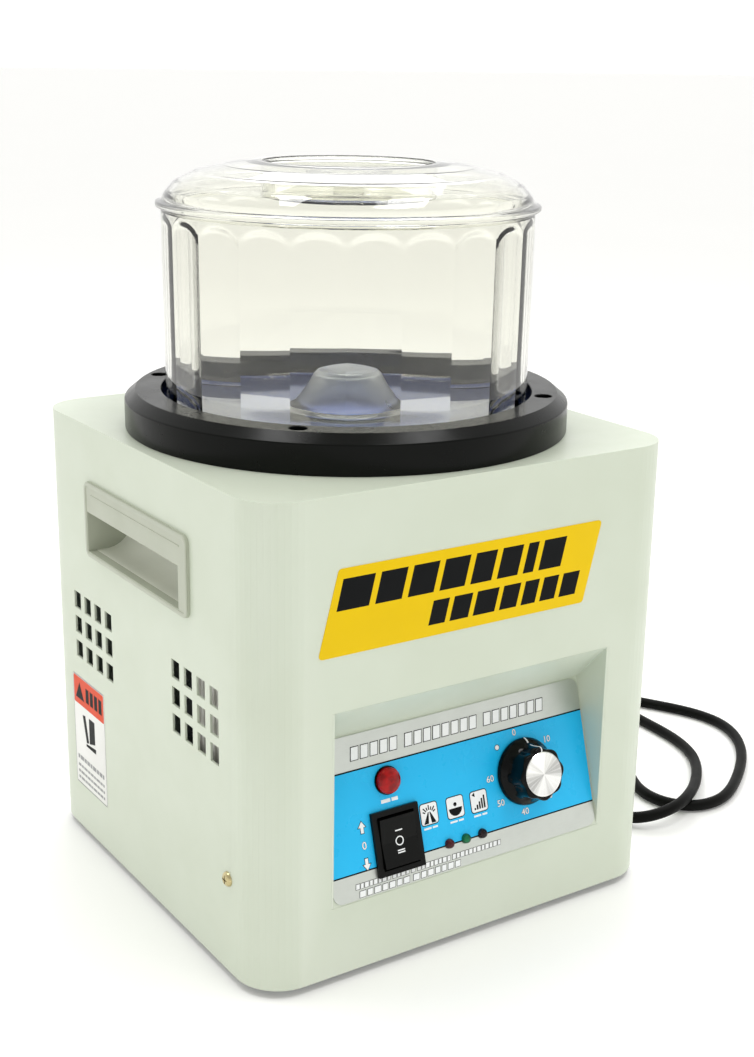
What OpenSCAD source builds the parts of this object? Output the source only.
// Bench-top magnetic tumbler: a sheet-metal cabinet holds a motor that spins a disc of magnets
// under a clear lidded bowl. Millimetres, +Z up, front face towards -Y, feet on Z = 0.

/* [Casing] */
// Width of the cabinet across the front
casing_w = 238; // [230:1:246]
// Depth of the cabinet from front to back
casing_d = 238; // [230:1:246]
// Height of the cabinet's top face above the table
casing_top = 239; // [236:1:244]
// Radius of the four vertical corners
corner_r = 23; // [14:1:26]
// Thickness of the folded sheet steel
sheet = 1.2; // [0.8:0.1:2]
// Gap between the table and the cabinet's lower edge
floor_gap = 4; // [3:0.5:5]

/* [Control recess] */
// Width of the sloped control recess
bay_w = 160; // [158:1:164]
// Height of the recess's upper edge
bay_top = 138; // [134:1:142]
// Height of the recess's lower edge
bay_bottom = 40; // [36:1:42]
// Depth of the recess at its inner fold
bay_depth = 22; // [18:1:26]
// Height of the inner fold
bay_fold = 115; // [112:1:118]

/* [Bowl and lid] */
// Outside radius of the bowl at its rim
bowl_r = 92.5; // [91.5:0.5:93]
// Height of the bowl from its base to its rim
bowl_h = 104.6; // [90:0.1:120]
// Wall and floor thickness of the bowl
bowl_wall = 3; // [2:0.25:4]
// Radius of the lid's rim
lid_r = 95.2; // [94:0.1:96]
// Outside radius of the black collar around the bowl
collar_r = 112.5; // [108:0.5:116]
// Height of the collar above the cabinet
collar_h = 19; // [16:0.5:24]

/* [Drive] */
// Radius of the spinning disc that carries the magnets
disc_r = 74; // [60:1:80]
// Number of magnets on the disc
magnets = 8; // [4:2:12]
// Radius of the motor shaft
shaft_r = 5; // [4:0.5:6]
// Outside radius of the motor's housing
motor_r = 50; // [46:1:54]

/* [Knob] */
// Radius of the timer knob's skirt
knob_skirt_r = 17; // [15:0.5:18]
// Height of the timer knob above the faceplate
knob_h = 16.5; // [14:0.5:20]
// Number of finger lobes on the knob
knob_lobes = 8; // [6:1:12]

/* [Mains lead] */
// Diameter of the mains lead
cord_d = 6.5; // [5:0.5:8]

/* [Hidden] */
$fn = 64;
eps = 0.01;
gap = 0.1;

half_w = casing_w / 2;
half_d = casing_d / 2;
front_y = -half_d;
tray_z = floor_gap + 2;
tray_top = tray_z + sheet;
tray_inset = 0.1;

// Control recess: panel slopes from the inner fold down to the front face
fold_y = front_y + bay_depth;
panel_tilt = atan2(bay_depth, bay_fold - bay_bottom);
panel_len = norm([bay_depth, bay_fold - bay_bottom]);
bay_wall_y = 1.5;
plate_t = 0.5;
lamp_at = [-42, -26];
switch_at = [-41, -55];
timer_at = [38.5, -40.3];
led_x = [-12, -2, 8];
led_y = -64.5;
lamp_r = 6;
led_r = 2.4;
bush_r = 5;
switch_body_size = [22.4, 28];
switch_cavity = [20.6, 25.8];
switch_pivot_z = -1.2;
rocker_pin_r = 1.5;
timer_shaft_r = 3;
fit = 0.05;

// Side fittings
handle_y = 2;
handle_z = 190;
handle_size = [115, 40];
handle_body = [107, 35];
handle_pocket = 103;
handle_shift = 3;
handle_depth = 25;
handle_lip = 1.5;
vent_hole = [8.2, 9.4];
vent_pitch_y = 13;
vent_pitch_z = 14;
vent_y = 58;
vent_z = 125.5;
side_screw_y = -89;
screw_z = 53;
rear_screw_x = 30;
label_y = [47.5, 88];
label_z = [30.5, 95.5];
sticker_t = 0.3;

// Bowl seat
well_hole_r = 86;
plate_r = 97.5;
well_plate_t = 3.5;
collar_bore_r = 94.2;
collar_top = casing_top + collar_h;
collar_bevel = 4.5;
collar_screw_r = 100.5;
bowl_base = casing_top + well_plate_t + 0.4;
bowl_rim = bowl_base + bowl_h;
bowl_floor = bowl_base + bowl_wall + 1;
cone_r = 22;
cone_top_r = 13.8;
cone_h = 21.5;
lid_base = bowl_rim + 0.3;

// Drive train, from the bottom up
fan_z = 66;
mount_z = 84;
mount_t = 3;
motor_z = mount_z + mount_t;
motor_h = 85;
post_at = 56;
rotor_r = 28;
disc_z = 226;
disc_t = 4;
magnet_r = 13;
magnet_t = 4.5;
magnet_ring_r = 55;
bearing_r = 13;
bolt_ring_r = 54;

// Rear fittings
gland_x = 85;
gland_z = 40;
gland_len = 33;
fuse_x = 50;
fuse_z = 40;
fuse_cap_len = 7.1;
foot_at = 92;
foot_h = tray_z;

// Mains lead: the control points that its curve runs near, from the gland down to the table,
// through two loops beside the cabinet, and behind the cabinet to the coil
lead_z = 3.5;
coil_z = 4.25;
coil_at = [-35, 186];
coil_r = 35;
coil_half = 7;
route = [
    [85, 152, 40], [85, 168, 40], [86, 188, 30], [92, 208, 10], [112, 224, 3],
    [140, 223, lead_z], [172, 205, lead_z], [204, 170, lead_z], [232, 124, lead_z],
    [253, 84, lead_z], [272, 51, lead_z], [290, 22, lead_z], [294, -6, lead_z],
    [280, -32, lead_z], [260, -52, lead_z], [237, -69, lead_z], [215, -82, lead_z],
    [193, -82, lead_z], [178, -66, lead_z], [179, -43, lead_z], [194, -20, lead_z],
    [206, 12, lead_z], [193, 44, lead_z], [187, 78, lead_z], [210, 105, lead_z],
    [243, 97, lead_z], [255, 67, lead_z], [250, 34, lead_z], [251, 2, lead_z],
    [243, -29, lead_z], [220, -54, 4.5], [194, -75, 10], [171, -87, 11.5], [150, -80, 6],
    [141, -59, 3], [147, -8, lead_z], [140, 62, lead_z], [127, 128, lead_z],
    [85, 147.5, lead_z], [coil_at[0], 147.5, lead_z]
];
lead_sides = 10;
plug_at = [coil_at[0] + 20, coil_at[1] + coil_r, 12.5];

// Points along an arc, used for every rounded outline
function arc_points(c, r, a0, a1, n) =
    [for (i = [0 : n]) c + r * [cos(a0 + (a1 - a0) * i / n), sin(a0 + (a1 - a0) * i / n)]];

function rounded_rect(w, d, r, n = 8) = concat(
    arc_points([w / 2 - r, d / 2 - r], r, 0, 90, n),
    arc_points([r - w / 2, d / 2 - r], r, 90, 180, n),
    arc_points([r - w / 2, r - d / 2], r, 180, 270, n),
    arc_points([w / 2 - r, r - d / 2], r, 270, 360, n)
);

// Cubic B-spline point for four control points, then the whole route with its ends held
function spline(a, b, c, d, t) =
    (pow(1 - t, 3) * a + (3 * pow(t, 3) - 6 * t * t + 4) * b
        + (3 * t * t + 3 * t + 1 - 3 * pow(t, 3)) * c + pow(t, 3) * d) / 6;

function control_point(p, i) =
    i < 0 ? 2 * p[0] - p[1] : i < len(p) ? p[i] : 2 * p[len(p) - 1] - p[len(p) - 2];

function smooth_route(p, steps) = concat(
    [for (i = [0 : len(p) - 2], k = [0 : steps - 1])
        spline(control_point(p, i - 1), p[i], p[i + 1], control_point(p, i + 2), k / steps)],
    [p[len(p) - 1]]
);

function unit(v) = v / norm(v);

function tangent(p, i) = unit(control_point(p, i + 1) - control_point(p, i - 1));

function ring_points(p, i, r, sides) =
    let (t = tangent(p, i), s = unit(cross(t, [0, 0, 1])), u = cross(s, t))
    [for (k = [0 : sides - 1]) p[i] + r * (cos(360 * k / sides) * s + sin(360 * k / sides) * u)];

module swept_tube(p, r, sides) {
    last = len(p) - 1;
    points = [for (i = [0 : last]) each ring_points(p, i, r, sides)];
    walls = [for (i = [0 : last - 1], k = [0 : sides - 1])
        let (j = (k + 1) % sides)
        [i * sides + k, i * sides + j, (i + 1) * sides + j, (i + 1) * sides + k]];
    start = [[for (k = [sides - 1 : -1 : 0]) k]];
    finish = [[for (k = [0 : sides - 1]) last * sides + k]];
    polyhedron(points = points, faces = concat(walls, start, finish), convexity = 10);
}

// A box given by its lowest and highest corners
module block(low, high) {
    translate(low)
        cube(high - low);
}

// A tube or washer standing on z0
module ring(r_in, r_out, z0, z1) {
    difference() {
        translate([0, 0, z0])
            cylinder(h = z1 - z0, r = r_out);
        translate([0, 0, z0 - 1])
            cylinder(h = z1 - z0 + 2, r = r_in);
    }
}

// The sloped panel's own frame: X across, Y up the slope, Z out of the panel
module on_panel(at = [0, 0]) {
    translate([0, fold_y, bay_fold])
        rotate([90 - panel_tilt, 0, 0])
            translate([at[0], at[1], 0])
                children();
}

// A profile drawn in Y and Z, extruded across X
module across(x0, x1, points) {
    translate([x0, 0, 0])
        rotate([90, 0, 90])
            linear_extrude(x1 - x0)
                polygon(points);
}

// A pan-head screw along +Z with its head's underside on Z = 0
module pan_screw(head_r, head_h, shank_r, shank_len) {
    difference() {
        union() {
            translate([0, 0, -shank_len])
                cylinder(h = shank_len + eps, r = shank_r, $fn = 24);
            rotate_extrude($fn = 32)
                polygon([[0, 0], [head_r, 0], [head_r * 0.92, head_h * 0.55],
                    [head_r * 0.6, head_h], [0, head_h]]);
        }
        for (a = [0, 90])
            rotate([0, 0, a])
                translate([-head_r * 0.55, -0.35, head_h - 0.8])
                    cube([head_r * 1.1, 0.7, 2]);
    }
}

module at_four_corners(d) {
    for (x = [-d, d], y = [-d, d])
        translate([x, y, 0])
            children();
}

// ---- Cabinet -------------------------------------------------------------------------------

module vent_grid() {
    for (side = [-1, 1], block_y = [-vent_y, vent_y], col = [-1.5 : 1.5], row = [-1 : 1])
        translate([side * half_w, block_y + col * vent_pitch_y, vent_z + row * vent_pitch_z])
            cube([10, vent_hole[0], vent_hole[1]], center = true);
}

module casing_shell() {
    color([0.87, 0.89, 0.83])
        difference() {
            translate([0, 0, floor_gap])
                linear_extrude(casing_top - floor_gap)
                    polygon(rounded_rect(casing_w, casing_d, corner_r, 12));
            translate([0, 0, floor_gap - 1])
                linear_extrude(casing_top - floor_gap - sheet + 1)
                    polygon(rounded_rect(casing_w - 2 * sheet, casing_d - 2 * sheet,
                        corner_r - sheet, 12));
            translate([0, 0, casing_top - 5])
                cylinder(h = 10, r = well_hole_r, $fn = 96);
            for (a = [45 : 90 : 315])
                rotate([0, 0, a])
                    translate([collar_screw_r, 0, casing_top - 5])
                        cylinder(h = 10, r = 2.1, $fn = 24);
            block([-bay_w / 2 - sheet, front_y - 1, bay_bottom],
                [bay_w / 2 + sheet, front_y + 5, bay_top]);
            for (side = [-1, 1])
                translate([side * half_w, handle_y + handle_shift, handle_z - 1])
                    cube([10, handle_body[0] + 0.4, handle_body[1] + 0.4], center = true);
            vent_grid();
            for (side = [-1, 1])
                translate([side * half_w, side_screw_y, screw_z])
                    rotate([0, 90, 0])
                        cylinder(h = 10, r = 2, center = true, $fn = 24);
            for (x = [-rear_screw_x, rear_screw_x])
                rear_hole(x, screw_z, 2);
            rear_hole(gland_x, gland_z, 6.5);
            rear_hole(fuse_x, fuse_z, 6);
        }
}

module rear_hole(x, z, r) {
    translate([x, half_d, z])
        rotate([90, 0, 0])
            cylinder(h = 10, r = r, center = true, $fn = 32);
}

module base_tray() {
    side_x = half_w - sheet - tray_inset;
    rear_y = half_d - sheet - tray_inset;
    color([0.70, 0.72, 0.72])
        difference() {
            union() {
                translate([0, 0, tray_z])
                    linear_extrude(sheet)
                        polygon(rounded_rect(2 * side_x, 2 * rear_y, corner_r - sheet, 12));
                for (side = [-1, 1])
                    translate([side * (side_x - sheet / 2), 0, tray_z + 28])
                        cube([sheet, 188, 56], center = true);
                translate([0, rear_y - sheet / 2, tray_z + 28])
                    cube([76, sheet, 56], center = true);
            }
            at_four_corners(foot_at)
                translate([0, 0, tray_z - 1])
                    cylinder(h = 5, r = 2.1, $fn = 24);
            for (y = [-60 : 15 : 60])
                translate([0, y, tray_z])
                    cube([60, 5, 10], center = true);
            for (side = [-1, 1])
                translate([side * half_w, side_screw_y, screw_z])
                    rotate([0, 90, 0])
                        cylinder(h = 20, r = 2, center = true, $fn = 24);
            for (x = [-rear_screw_x, rear_screw_x])
                rear_hole(x, screw_z, 2);
        }
}

module panel_holes() {
    on_panel(lamp_at)
        cylinder(h = 10, r = lamp_r, center = true);
    on_panel(switch_at)
        cube([switch_body_size[0] + 0.2, switch_body_size[1] + 0.2, 10], center = true);
    on_panel(timer_at)
        cylinder(h = 10, r = bush_r, center = true);
    for (x = led_x)
        on_panel([x, led_y])
            cylinder(h = 10, r = led_r + gap, center = true, $fn = 32);
}

module control_bay() {
    lip = [front_y, bay_top];
    fold = [fold_y, bay_fold];
    toe = [front_y, bay_bottom];
    back = [bay_wall_y, 0];
    x0 = bay_w / 2;
    color([0.80, 0.83, 0.79])
        difference() {
            union() {
                across(-x0, x0, [lip, fold, toe, toe + back, fold + back, lip + back]);
                for (side = [[-x0 - sheet, -x0], [x0, x0 + sheet]])
                    across(side[0], side[1], [lip, lip + back, fold + back, toe + back, toe]);
            }
            panel_holes();
        }
}

module control_faceplate() {
    color([0.25, 0.70, 0.90])
        difference() {
            on_panel([0, -panel_len / 2])
                linear_extrude(plate_t)
                    polygon(rounded_rect(bay_w - 1, panel_len - 1.2, 5, 6));
            panel_holes();
        }
}

// Recessed carry handle: +X points out of the cabinet
module handle_pan() {
    h = handle_body[1];
    body_y = [handle_shift - handle_body[0] / 2, handle_shift + handle_body[0] / 2];
    pocket_y = [handle_shift - handle_pocket / 2, handle_shift + handle_pocket / 2];
    difference() {
        union() {
            rotate([90, 0, 90])
                linear_extrude(handle_lip)
                    polygon(rounded_rect(handle_size[0], handle_size[1], 4, 6));
            block([-handle_depth, body_y[0], -h / 2 - 1], [eps, body_y[1], h / 2 - 1]);
        }
        block([1.6 - handle_depth, pocket_y[0], -17.2], [-1.6, pocket_y[1], 14.5]);
        block([-2, pocket_y[0], -17.2], [handle_lip + 1, pocket_y[1], 4]);
    }
}

module handle_left() {
    color([0.80, 0.80, 0.76])
        translate([-half_w, handle_y, handle_z])
            mirror([1, 0, 0])
                handle_pan();
}

module handle_right() {
    color([0.80, 0.80, 0.76])
        translate([half_w, handle_y, handle_z])
            handle_pan();
}

module foot(x, y) {
    color([0.12, 0.12, 0.12])
        translate([x, y, 0])
            difference() {
                cylinder(h = foot_h, r1 = 9, r2 = 10);
                translate([0, 0, -1])
                    cylinder(h = 4, r = 5, $fn = 32);
                translate([0, 0, -1])
                    cylinder(h = foot_h + 2, r = 2.1, $fn = 24);
            }
}

module foot_front_left() { foot(-foot_at, -foot_at); }
module foot_front_right() { foot(foot_at, -foot_at); }
module foot_rear_left() { foot(-foot_at, foot_at); }
module foot_rear_right() { foot(foot_at, foot_at); }

module foot_screws() {
    color([0.75, 0.75, 0.77])
        at_four_corners(foot_at)
            translate([0, 0, 3])
                rotate([180, 0, 0])
                    pan_screw(4, 2.2, 1.9, 9);
}

module side_screws() {
    color([0.78, 0.62, 0.30])
        for (side = [-1, 1])
            translate([side * half_w, side_screw_y, screw_z])
                rotate([0, side * 90, 0])
                    pan_screw(3.7, 2, 1.9, 8);
}

module rear_screws() {
    color([0.78, 0.62, 0.30])
        for (x = [-rear_screw_x, rear_screw_x])
            translate([x, half_d, screw_z])
                rotate([-90, 0, 0])
                    pan_screw(3.7, 2, 1.9, 8);
}

module front_banner() {
    color([0.95, 0.80, 0.08])
        translate([0, front_y, 0])
            rotate([90, 0, 0])
                linear_extrude(sticker_t)
                    polygon([[-89.5, 165], [62, 165], [72, 206], [-79, 206]]);
}

module side_label() {
    color([0.95, 0.95, 0.93])
        block([-half_w - sticker_t, label_y[0], label_z[0]], [-half_w, label_y[1], label_z[1]]);
}

// ---- Bowl seat, bowl and lid ---------------------------------------------------------------

module bowl_collar() {
    pocket_r = plate_r + 0.3;
    pocket_z = casing_top + well_plate_t + 0.1;
    color([0.09, 0.09, 0.09])
        difference() {
            rotate_extrude($fn = 120)
                polygon([
                    [collar_r, casing_top], [collar_r, collar_top - collar_bevel],
                    [collar_r - 5.5, collar_top], [collar_bore_r, collar_top],
                    [collar_bore_r, pocket_z], [pocket_r, pocket_z], [pocket_r, casing_top]
                ]);
            for (a = [45 : 90 : 315])
                rotate([0, 0, a])
                    translate([collar_screw_r, 0, 0]) {
                        translate([0, 0, collar_top - 4])
                            cylinder(h = 5, r = 4.3, $fn = 32);
                        translate([0, 0, casing_top - 1])
                            cylinder(h = collar_h + 2, r = 2.1, $fn = 24);
                    }
        }
}

module collar_screws() {
    color([0.15, 0.15, 0.15])
        for (a = [45 : 90 : 315])
            rotate([0, 0, a])
                translate([collar_screw_r, 0, collar_top - 4])
                    pan_screw(3.8, 2.2, 1.9, 22);
}

module well_plate() {
    color([0.55, 0.60, 0.78])
        translate([0, 0, casing_top])
            cylinder(h = well_plate_t, r = plate_r, $fn = 120);
}

module bowl() {
    r = bowl_r;
    cone_z = bowl_floor + cone_h;
    cone_t = 2.6;
    color([0.88, 0.92, 0.92, 0.35])
        rotate_extrude($fn = 120)
            polygon([
                [cone_r - cone_t, bowl_base], [r - 4, bowl_base], [r - 1.4, bowl_base + 3],
                [r - 0.8, bowl_base + 20], [r - 0.5, bowl_rim - 7], [r, bowl_rim - 6],
                [r, bowl_rim], [r - bowl_wall, bowl_rim], [r - bowl_wall - 0.6, bowl_rim - 8],
                [r - bowl_wall - 1, bowl_floor + 2], [r - bowl_wall - 3, bowl_floor],
                [cone_r, bowl_floor], [cone_top_r + 1.6, cone_z - 2.6], [cone_top_r - 1, cone_z - 0.6],
                [0, cone_z], [0, cone_z - cone_t], [cone_top_r - 3, cone_z - cone_t - 1.2]
            ]);
}

module lid() {
    z = lid_base;
    color([0.90, 0.93, 0.93, 0.35])
        rotate_extrude($fn = 120)
            polygon([
                [lid_r, z], [lid_r, z + 1.8], [lid_r - 1, z + 2.9], [91, z + 4], [89, z + 7.5],
                [84.5, z + 11.8], [76, z + 15.4], [62, z + 18.4], [50, z + 20.8], [45, z + 22],
                [43.4, z + 22.2], [42.2, z + 21.6], [41, z + 6], [39.4, z + 4.4], [8, z + 4.4],
                [8, z + 12], [21.5, z + 13], [21.5, z + 15], [13, z + 17.5], [0, z + 18.4],
                [0, z + 2.2], [40.4, z + 2.2], [42.6, z + 4], [44, z + 19.4], [50, z + 18.4],
                [61.6, z + 16.1], [75.2, z + 13.2], [83, z + 10], [87, z + 6], [88.2, z + 3],
                [87.4, z - 4.2], [88.7, z - 4.2], [89, z]
            ]);
}

// ---- Motor, magnet disc and fan ------------------------------------------------------------

module motor_mount_plate() {
    color([0.74, 0.75, 0.76])
        difference() {
            translate([0, 0, mount_z])
                linear_extrude(mount_t)
                    polygon(rounded_rect(130, 130, 8, 6));
            translate([0, 0, mount_z - 1])
                cylinder(h = mount_t + 2, r = 18);
            bolt_holes(mount_z - 1, mount_t + 2, 2.1);
            at_four_corners(post_at)
                translate([0, 0, mount_z - 1])
                    cylinder(h = mount_t + 2, r = 2.6, $fn = 24);
        }
}

module bolt_holes(z, h, r) {
    for (a = [45 : 90 : 315])
        rotate([0, 0, a])
            translate([bolt_ring_r, 0, z])
                cylinder(h = h, r = r, $fn = 24);
}

module mount_posts() {
    color([0.80, 0.80, 0.82])
        at_four_corners(post_at) {
            translate([0, 0, tray_top])
                cylinder(h = mount_z - tray_top, r = 6, $fn = 6);
            translate([0, 0, mount_z - eps])
                cylinder(h = mount_t + 3, r = 2.5, $fn = 24);
        }
}

module motor_housing() {
    top = motor_z + motor_h;
    color([0.78, 0.79, 0.80])
        difference() {
            rotate_extrude($fn = 96)
                polygon([
                    [bearing_r, motor_z], [motor_r + 8, motor_z], [motor_r + 8, motor_z + 4],
                    [motor_r, motor_z + 4], [motor_r, top], [motor_r - 4, top],
                    [motor_r - 4, motor_z + 5], [18, motor_z + 5], [18, motor_z + 10],
                    [bearing_r, motor_z + 10]
                ]);
            bolt_holes(motor_z - 1, 8, 2.1);
        }
}

module motor_top_cover() {
    z = motor_z + motor_h;
    color([0.70, 0.71, 0.73])
        rotate_extrude($fn = 96)
            polygon([[bearing_r, z], [motor_r, z], [motor_r, z + 5], [20, z + 10],
                [bearing_r, z + 10]]);
}

module stator_core() {
    color([0.45, 0.46, 0.48])
        ring(rotor_r + 0.5, motor_r - 4, motor_z + 21, motor_z + 63);
}

module stator_windings() {
    color([0.72, 0.40, 0.16])
        for (z = [[motor_z + 12, motor_z + 21], [motor_z + 63, motor_z + 74]])
            ring(rotor_r + 3, motor_r - 7, z[0], z[1]);
}

module bearing_lower() {
    color([0.82, 0.82, 0.84])
        ring(shaft_r + fit, bearing_r, motor_z + 1, motor_z + 9);
}

module bearing_upper() {
    color([0.82, 0.82, 0.84])
        ring(shaft_r + fit, bearing_r, motor_z + motor_h + 1, motor_z + motor_h + 9);
}

module motor_bolts() {
    color([0.75, 0.75, 0.77])
        for (a = [45 : 90 : 315])
            rotate([0, 0, a])
                translate([bolt_ring_r, 0, motor_z + 4])
                    pan_screw(3.6, 2.4, 2, 10);
}

module motor_shaft() {
    color([0.85, 0.85, 0.87])
        translate([0, 0, fan_z])
            cylinder(h = disc_z + disc_t - fan_z, r = shaft_r);
}

module rotor_core() {
    color([0.50, 0.51, 0.53])
        ring(shaft_r, rotor_r, motor_z + 18, motor_z + 66);
}

module disc_hub() {
    color([0.80, 0.80, 0.82])
        rotate_extrude()
            polygon([[shaft_r, 202], [12, 202], [12, disc_z - 4], [20, disc_z - 4],
                [20, disc_z], [shaft_r, disc_z]]);
}

module magnet_disc() {
    color([0.68, 0.70, 0.72])
        difference() {
            translate([0, 0, disc_z])
                cylinder(h = disc_t, r = disc_r, $fn = 96);
            translate([0, 0, disc_z - 1])
                cylinder(h = disc_t + 2, r = shaft_r);
        }
}

module disc_magnets() {
    color([0.60, 0.61, 0.63])
        for (i = [0 : magnets - 1])
            rotate([0, 0, i * 360 / magnets])
                translate([magnet_ring_r, 0, disc_z + disc_t])
                    cylinder(h = magnet_t, r = magnet_r, $fn = 48);
}

module cooling_fan() {
    blades = 8;
    color([0.20, 0.20, 0.21])
        difference() {
            union() {
                translate([0, 0, fan_z])
                    cylinder(h = 14, r = 10);
                for (i = [0 : blades - 1])
                    rotate([0, 0, i * 360 / blades])
                        translate([23.5, 0, fan_z + 7])
                            rotate([35, 0, 0])
                                cube([29, 1.6, 15], center = true);
            }
            translate([0, 0, fan_z - 1])
                cylinder(h = 16, r = shaft_r);
        }
}

// ---- Electrical parts ----------------------------------------------------------------------

module run_capacitor() {
    color([0.90, 0.90, 0.88])
        translate([-85, -30, tray_top + 18.5])
            rotate([-90, 0, 0]) {
                cylinder(h = 58, r = 17);
                for (x = [-6, 6])
                    translate([x - 3, -0.4, 58 - eps])
                        cube([6, 0.8, 8]);
            }
}

module capacitor_clamp() {
    color([0.74, 0.75, 0.76])
        translate([-85, -8, tray_top]) {
            translate([0, 0, 18.5])
                rotate([-90, 0, 0])
                    ring(17, 18.5, 0, 14);
            for (x = [-26, 18])
                translate([x, 0, 0])
                    cube([8, 14, 1.5]);
            for (x = [-18.5, 16.5])
                translate([x, 0, 0])
                    cube([2, 14, 10]);
        }
}

module control_board() {
    z = tray_top + 10;
    color([0.10, 0.42, 0.22])
        union() {
            block([64, -40, z], [110, 50, z + 1.6]);
            block([70, -34, z + 1.5], [85, -14, z + 16]);
            block([70, -10, z + 1.5], [85, 10, z + 16]);
            block([90, 26, z + 1.5], [106, 46, z + 12]);
            translate([97, -20, z + 1.5])
                cylinder(h = 18, r = 6, $fn = 32);
            for (y = [20, 30, 40])
                block([68, y - 3, z + 1.5], [76, y + 3, z + 11]);
        }
}

module board_standoffs() {
    color([0.85, 0.75, 0.45])
        for (x = [67, 107], y = [-37, 47])
            translate([x, y, tray_top])
                cylinder(h = 10, r = 3, $fn = 6);
}

module indicator_board() {
    color([0.10, 0.42, 0.22])
        on_panel([-2, led_y])
            translate([-18, -7, -7.6])
                cube([36, 14, 1.6]);
}

// Keeps the wiring off the vents: a ribbed web held to the left wall by its upper edge
module wire_guard() {
    wall = sheet - half_w;
    web = wall + 5.6;
    ends = [-77, -50];
    color([0.90, 0.90, 0.88]) {
        block([wall, ends[0], 151], [wall + 1.4, ends[1], 158]);
        block([wall, ends[0], 149.4], [web + 1.4, ends[1], 151]);
        block([web, ends[0], 98], [web + 1.4, ends[1], 149.4 + eps]);
        for (y = [ends[0] + 0.6 : 5.16 : ends[1]])
            block([web - 1.2, y - 0.6, 98], [web + eps, y + 0.6, 149.4 + eps]);
    }
}

module timer_body() {
    color([0.88, 0.86, 0.80])
        on_panel(timer_at)
            difference() {
                union() {
                    translate([-21, -21, -33])
                        cube([42, 42, 31.4]);
                    translate([0, 0, -2])
                        cylinder(h = 7.2, r = bush_r);
                }
                translate([0, 0, -40])
                    cylinder(h = 60, r = timer_shaft_r + fit, $fn = 48);
            }
}

module timer_nut() {
    color([0.80, 0.80, 0.82])
        on_panel(timer_at)
            difference() {
                translate([0, 0, plate_t])
                    cylinder(h = 2.6, r = 8, $fn = 6);
                cylinder(h = 10, r = bush_r);
            }
}

module timer_shaft() {
    color([0.85, 0.85, 0.87])
        on_panel(timer_at)
            translate([0, 0, -32])
                cylinder(h = 32 + 14, r = timer_shaft_r, $fn = 48);
}

module timer_knob() {
    base = plate_t + 0.5;
    grip_r = 9.6;
    color([0.05, 0.05, 0.05])
        on_panel(timer_at)
            difference() {
                union() {
                    rotate_extrude($fn = 72)
                        polygon([[0, base], [knob_skirt_r, base], [knob_skirt_r, base + 1.6],
                            [knob_skirt_r - 2, base + 4.6], [12.4, base + 5], [12.2, knob_h],
                            [0, knob_h]]);
                    for (i = [0 : knob_lobes - 1])
                        rotate([0, 0, i * 360 / knob_lobes])
                            translate([grip_r, 0, base + 3])
                                cylinder(h = knob_h - base - 3, r = 3.9, $fn = 32);
                }
                translate([0, 0, base - 1])
                    cylinder(h = 6, r = 10.5);
                translate([0, 0, base])
                    cylinder(h = 14 - base, r = timer_shaft_r, $fn = 48);
            }
}

module knob_cap() {
    color([0.85, 0.85, 0.84])
        on_panel(timer_at)
            translate([0, 0, knob_h])
                cylinder(h = 0.8, r = 11.2);
}

module switch_body() {
    bezel = [26.5, 31];
    color([0.07, 0.07, 0.07])
        on_panel(switch_at)
            difference() {
                union() {
                    translate([-bezel[0] / 2, -bezel[1] / 2, plate_t])
                        cube([bezel[0], bezel[1], 2]);
                    translate([-switch_body_size[0] / 2, -switch_body_size[1] / 2, -19])
                        cube([switch_body_size[0], switch_body_size[1], 20]);
                    for (x = [-6, 6], y = [-8, 0, 8])
                        translate([x - 0.4, y - 2.4, -27])
                            cube([0.8, 4.8, 9]);
                }
                translate([-switch_cavity[0] / 2, -switch_cavity[1] / 2, -5.6])
                    cube([switch_cavity[0], switch_cavity[1], 20]);
                translate([0, 0, switch_pivot_z])
                    rotate([0, 90, 0])
                        cylinder(h = 40, r = rocker_pin_r + fit, center = true, $fn = 32);
            }
}

module switch_rocker() {
    half = 11.8;
    color([0.11, 0.11, 0.11])
        on_panel(switch_at) {
            translate([-10, 0, 0])
                rotate([90, 0, 90])
                    linear_extrude(20)
                        polygon([[-half, 4], [0, 2.8], [half, 4], [half, -0.6], [4, -3.6],
                            [-4, -3.6], [-half, -0.6]]);
            translate([0, 0, switch_pivot_z])
                rotate([0, 90, 0])
                    cylinder(h = 22.2, r = rocker_pin_r, center = true, $fn = 32);
        }
}

module lamp_body() {
    color([0.08, 0.08, 0.08])
        on_panel(lamp_at) {
            translate([0, 0, -22])
                cylinder(h = 23, r = lamp_r - gap);
            translate([0, 0, plate_t])
                cylinder(h = 0.9, r = 6.9);
        }
}

module lamp_lens() {
    z = plate_t + 0.9;
    color([0.75, 0.05, 0.05])
        on_panel(lamp_at)
            rotate_extrude($fn = 48)
                polygon(concat([[0, z], [6.3, z], [6.3, z + 1.4]],
                    [for (a = [15 : 15 : 90]) [6.3 * cos(a), z + 1.4 + 2.8 * sin(a)]]));
}

module led(x) {
    on_panel([x, led_y]) {
        translate([0, 0, -6])
            cylinder(h = 7.2, r = led_r, $fn = 32);
        translate([0, 0, 1.2 - eps])
            rotate_extrude($fn = 32)
                polygon(concat([[0, 0]], arc_points([0, 0], led_r, 0, 90, 6)));
    }
}

module led_left() { color([0.35, 0.05, 0.05]) led(led_x[0]); }
module led_middle() { color([0.05, 0.45, 0.20]) led(led_x[1]); }
module led_right() { color([0.12, 0.05, 0.05]) led(led_x[2]); }

module fuse_holder() {
    color([0.08, 0.08, 0.08])
        translate([fuse_x, half_d, fuse_z])
            rotate([-90, 0, 0]) {
                translate([0, 0, -30])
                    cylinder(h = 30 + eps, r = 5.9, $fn = 32);
                cylinder(h = 2, r = 8.5, $fn = 48);
            }
}

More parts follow.
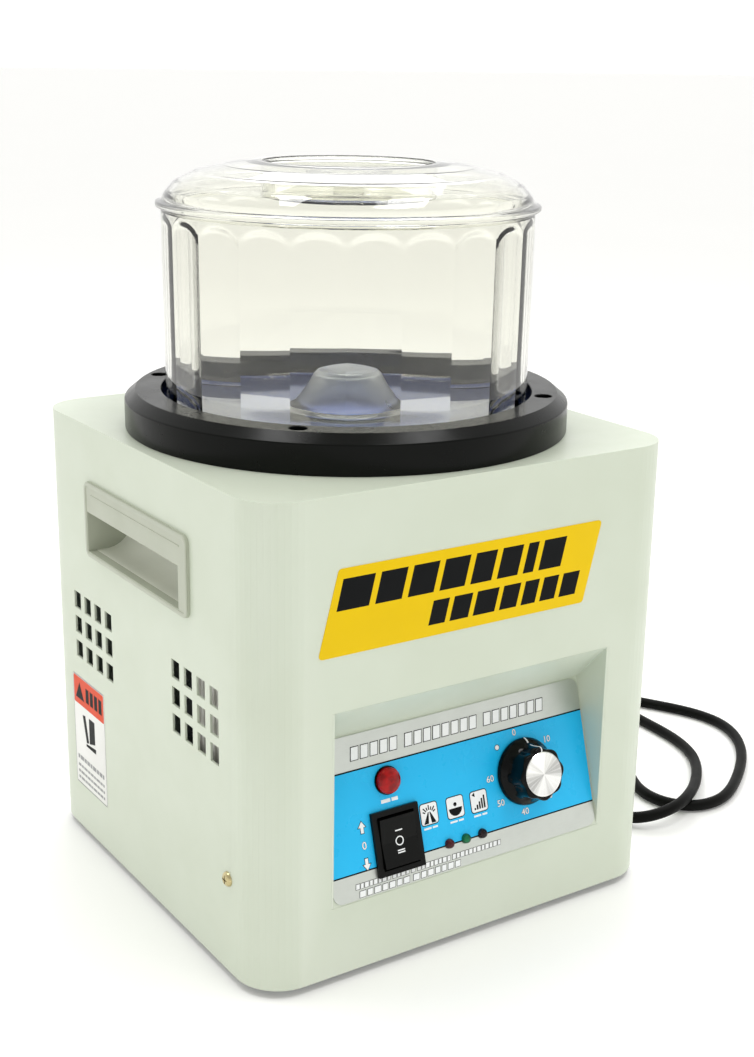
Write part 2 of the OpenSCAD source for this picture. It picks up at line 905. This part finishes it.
module fuse_cap() {
    color([0.10, 0.10, 0.10])
        translate([fuse_x, half_d + 2, fuse_z])
            rotate([-90, 0, 0])
                difference() {
                    cylinder(h = fuse_cap_len, r = 6.6, $fn = 48);
                    translate([-5, -0.7, fuse_cap_len - 1.5])
                        cube([10, 1.4, 3]);
                }
}

// ---- Mains lead ----------------------------------------------------------------------------

module cord_gland() {
    color([0.07, 0.07, 0.07])
        translate([gland_x, half_d, gland_z])
            rotate([-90, 0, 0]) {
                translate([0, 0, -8])
                    cylinder(h = 8 + eps, r = 6.4, $fn = 32);
                cylinder(h = 3, r = 9, $fn = 48);
                translate([0, 0, 3 - eps])
                    cylinder(h = gland_len - 3 + eps, r1 = 6.6, r2 = 4.4, $fn = 32);
            }
}

module mains_cord() {
    color([0.06, 0.06, 0.06])
        swept_tube(smooth_route(route, 2), cord_d / 2, lead_sides);
}

module cord_coil() {
    inner = coil_r - coil_half;
    outer = coil_r + coil_half;
    low = coil_z - cord_d / 2;
    color([0.06, 0.06, 0.06])
        translate([coil_at[0], coil_at[1], 0])
            rotate_extrude($fn = 64)
                polygon([[inner + 2, low], [outer - 2, low], [outer, low + 2],
                    [outer, low + 5], [outer - 4, low + 13], [inner + 3, low + 13],
                    [inner, low + 10], [inner, low + 2]]);
}

module cord_tie() {
    inner = coil_r - coil_half;
    outer = coil_r + coil_half;
    color([0.25, 0.25, 0.25])
        translate([coil_at[0], coil_at[1], 0])
            rotate([0, 0, 150])
                translate([0, 4, 0])
                    rotate([90, 0, 0])
                        linear_extrude(8)
                            difference() {
                                translate([inner - 1, 0.1])
                                    square([outer - inner + 2, 15]);
                                translate([inner, 0.9])
                                    square([outer - inner, 13.2]);
                            }
}

module mains_plug() {
    color([0.07, 0.07, 0.07])
        translate(plug_at)
            rotate([0, 90, 0]) {
                cylinder(h = 14, r1 = 4.2, r2 = 8, $fn = 32);
                translate([0, 0, 14 - eps])
                    linear_extrude(22)
                        polygon(rounded_rect(23, 25, 7, 6));
                translate([0, 0, 36 - eps])
                    linear_extrude(3)
                        polygon(rounded_rect(24, 30, 6, 6));
                for (y = [-6.35, 6.35])
                    translate([-4.5, y - 0.75, 38])
                        cube([6.3, 1.5, 17]);
                translate([6.8, 0, 38])
                    cylinder(h = 18.5, r = 2.4, $fn = 24);
            }
}

casing_shell();
base_tray();
control_bay();
control_faceplate();
handle_left();
handle_right();
bowl_collar();
collar_screws();
well_plate();
front_banner();
side_label();
motor_mount_plate();
mount_posts();
motor_housing();
motor_top_cover();
stator_core();
stator_windings();
bearing_lower();
bearing_upper();
motor_bolts();
run_capacitor();
capacitor_clamp();
control_board();
board_standoffs();
indicator_board();
wire_guard();
timer_body();
timer_nut();
switch_body();
lamp_body();
lamp_lens();
led_left();
led_middle();
led_right();
foot_front_left();
foot_front_right();
foot_rear_left();
foot_rear_right();
foot_screws();
side_screws();
rear_screws();
fuse_holder();
fuse_cap();
cord_gland();
mains_cord();
cord_coil();
cord_tie();
mains_plug();
motor_shaft();
rotor_core();
disc_hub();
magnet_disc();
disc_magnets();
cooling_fan();
timer_shaft();
timer_knob();
knob_cap();
switch_rocker();
bowl();
lid();
